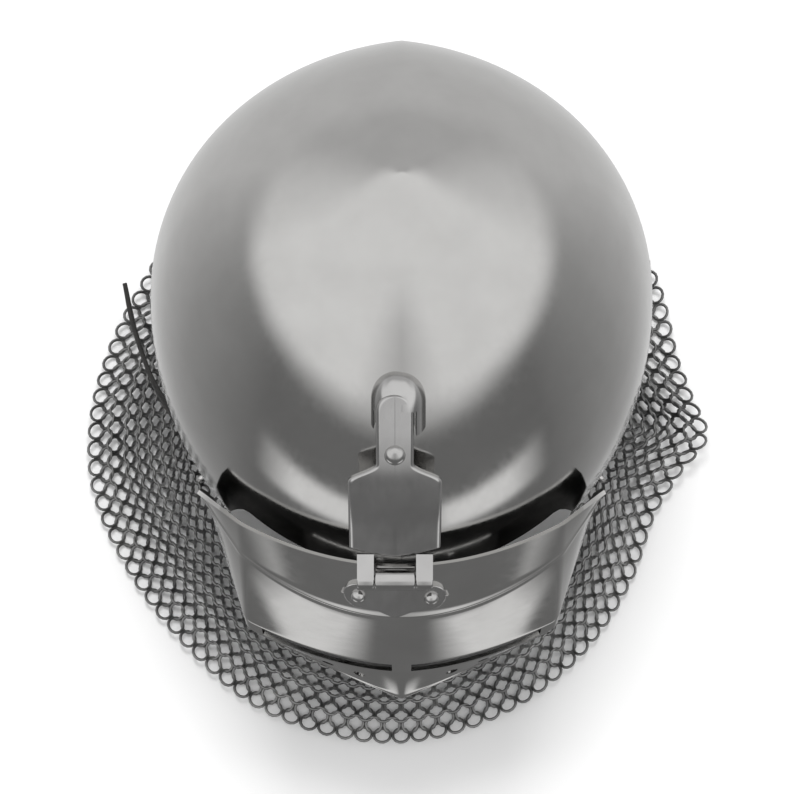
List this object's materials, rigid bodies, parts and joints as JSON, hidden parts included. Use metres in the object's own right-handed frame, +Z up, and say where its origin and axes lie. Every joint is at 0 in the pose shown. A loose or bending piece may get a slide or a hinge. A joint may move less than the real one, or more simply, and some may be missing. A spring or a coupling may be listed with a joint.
{
  "type": "bascinet with a hinged visor and a mail aventail",
  "caption": "Ridged steel bascinet with a pointed visor that lifts on a brow hinge, and a mail aventail on a leather band spread round its rim.",
  "frame": {"origin": "middle of the footprint on the surface that the rim of the skull and the spread mail rest on", "axes": "+Z up, -Y the way the face looks, +X the wearer's left"},
  "size_m": [0.2974, 0.32, 0.278],
  "materials": {
    "skull_steel": "satin polished steel with fine rubbed streaks",
    "visor_steel": "satin polished steel",
    "hinge_steel": "filed and polished steel",
    "mail_steel": "plain steel wire rings",
    "black_leather": "black vegetable tanned leather"
  },
  "bodies": {
    "helmet": {"skull": "skull_steel", "hinge_boss": "hinge_steel", "hinge_plate": "hinge_steel", "hinge_plate_rivet": "hinge_steel", "hinge_pin": "hinge_steel", "aventail_band": "black_leather", "vervelle_left_1": "hinge_steel", "vervelle_right_1": "hinge_steel", "vervelle_left_2": "hinge_steel", "vervelle_right_2": "hinge_steel", "vervelle_left_3": "hinge_steel", "vervelle_right_3": "hinge_steel", "vervelle_left_4": "hinge_steel", "vervelle_right_4": "hinge_steel", "vervelle_left_5": "hinge_steel", "vervelle_right_5": "hinge_steel", "vervelle_left_6": "hinge_steel", "vervelle_right_6": "hinge_steel", "aventail": "mail_steel"},
    "visor": {"visor": "visor_steel", "visor_hinge_leaf": "hinge_steel", "leaf_rivet_left": "hinge_steel", "leaf_rivet_right": "hinge_steel"}
  },
  "joints": [
    {"name": "visor_hinge", "type": "hinge", "parent": "helmet", "child": "visor", "pos_m": [-0.0027, -0.1153, 0.183], "axis": [-1, 0, 0], "range_deg": [0, 120]}
  ]
}
